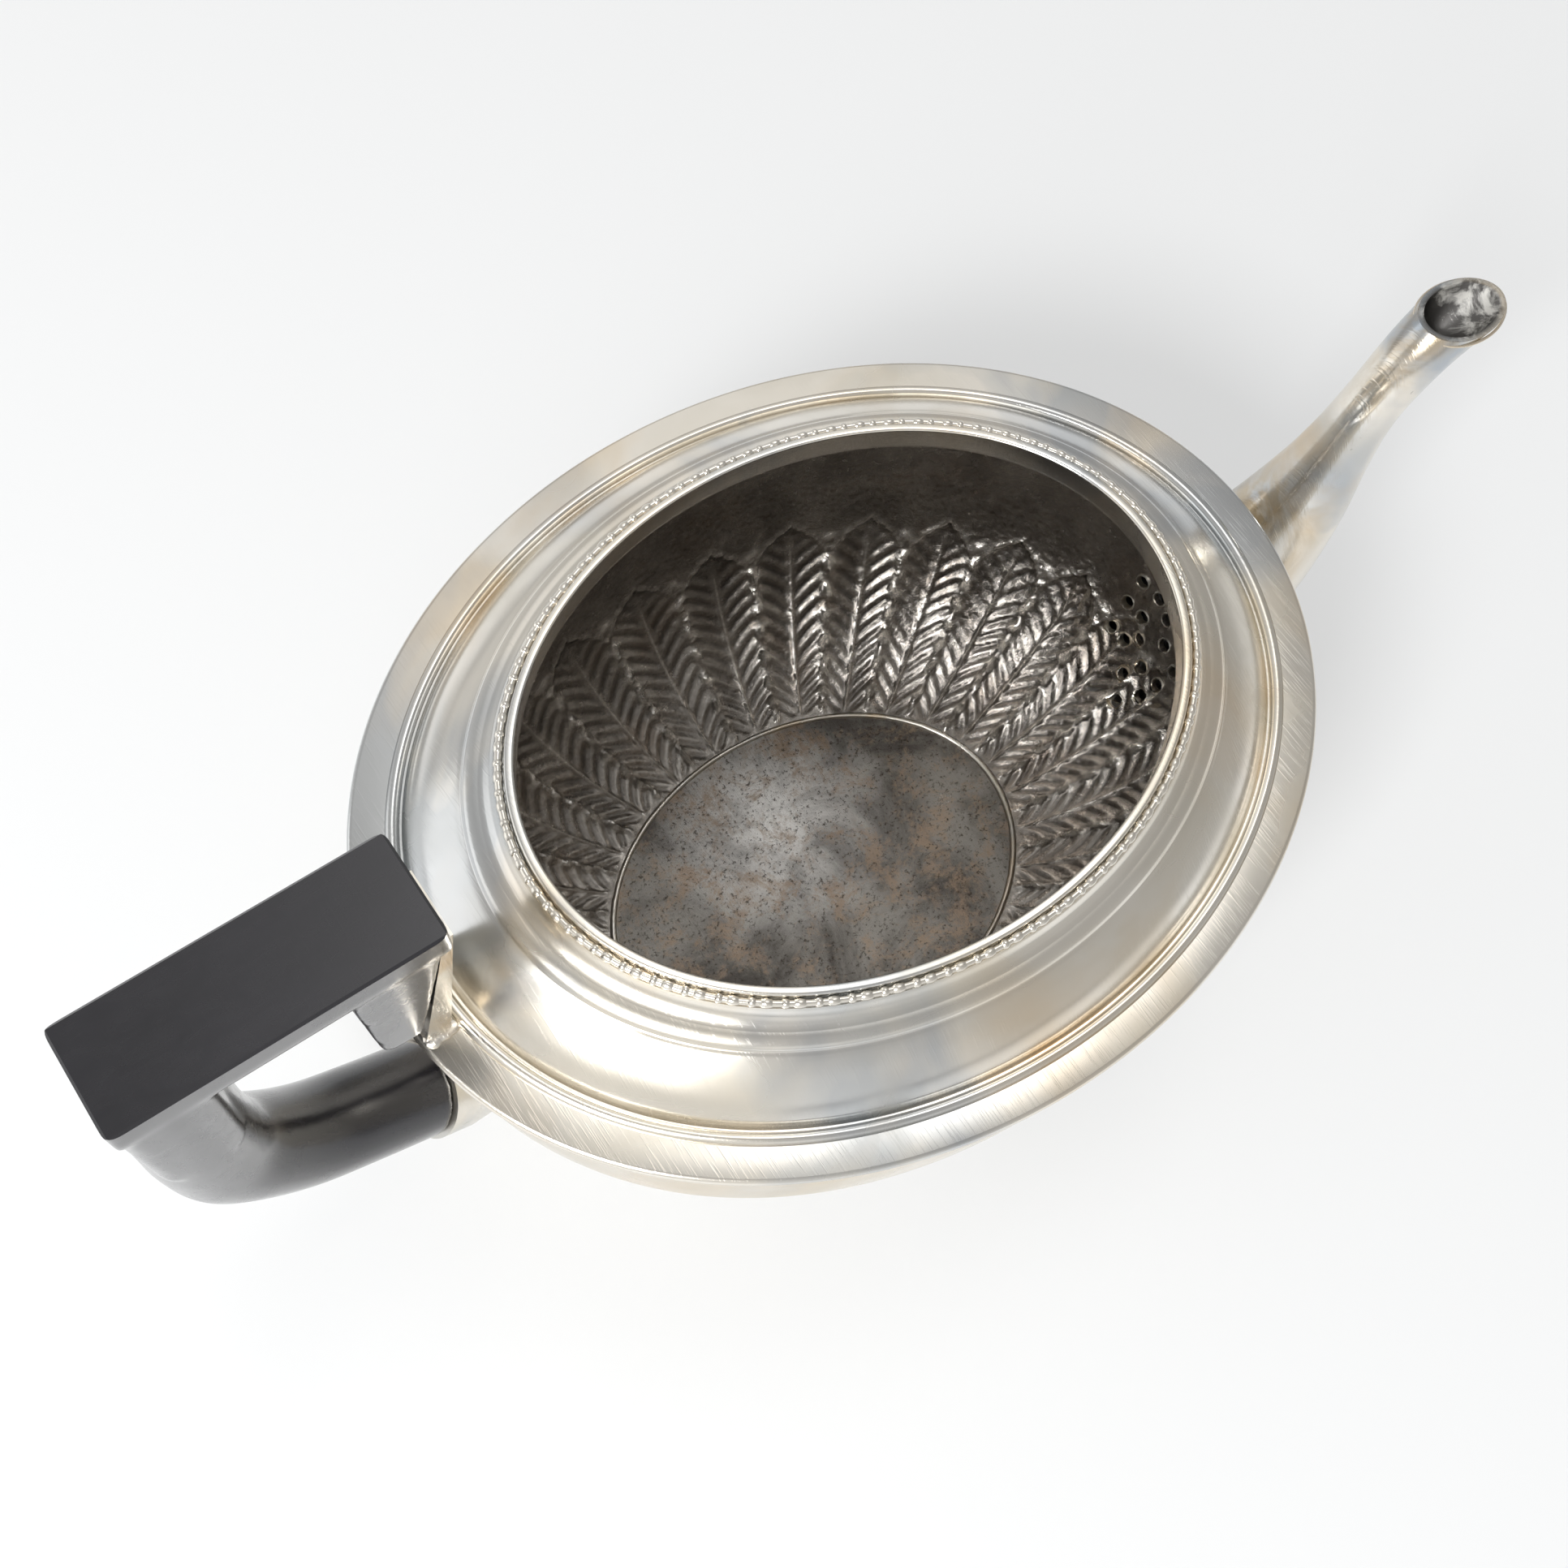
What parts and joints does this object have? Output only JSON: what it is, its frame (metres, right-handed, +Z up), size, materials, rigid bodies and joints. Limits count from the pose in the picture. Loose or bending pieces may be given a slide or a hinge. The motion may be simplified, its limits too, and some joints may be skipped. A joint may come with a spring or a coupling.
{
  "type": "teapot body with handle and spout",
  "caption": "Oval silver teapot without a lid: black D-shaped handle, swan-neck spout, chased leaves inside and a pierced strainer at the spout.",
  "frame": {"origin": "on the table, under the middle of the oval body", "axes": "+X towards the spout, +Z up, the handle is on -X"},
  "size_m": [0.2808, 0.1448, 0.1208],
  "materials": {
    "polished_silver": "hand-polished sterling silver, lightly tarnished",
    "chased_silver": "chased silver, darkened in the recesses",
    "floor_silver": "unpolished silver, stained and finely scratched",
    "beaded_silver": "bead-and-reel wire with dark gaps",
    "spout_silver": "polished silver with warm and blue tarnish and a few pits",
    "socket_silver": "silver with rough solder at its edges",
    "black_handle": "black composition, worn semi-gloss"
  },
  "bodies": {
    "root": {"bowl": "chased_silver", "floor_plate": "floor_silver", "foot_rim": "polished_silver", "flange_rim": "polished_silver", "ridge_wire": "polished_silver", "shoulder": "polished_silver", "mouth_collar": "polished_silver", "bead_wire": "beaded_silver", "spout": "spout_silver", "spout_lip_wire": "polished_silver", "handle": "black_handle", "upper_socket": "socket_silver", "lower_socket": "socket_silver", "upper_pin": "socket_silver", "lower_pin": "socket_silver"}
  },
  "joints": []
}
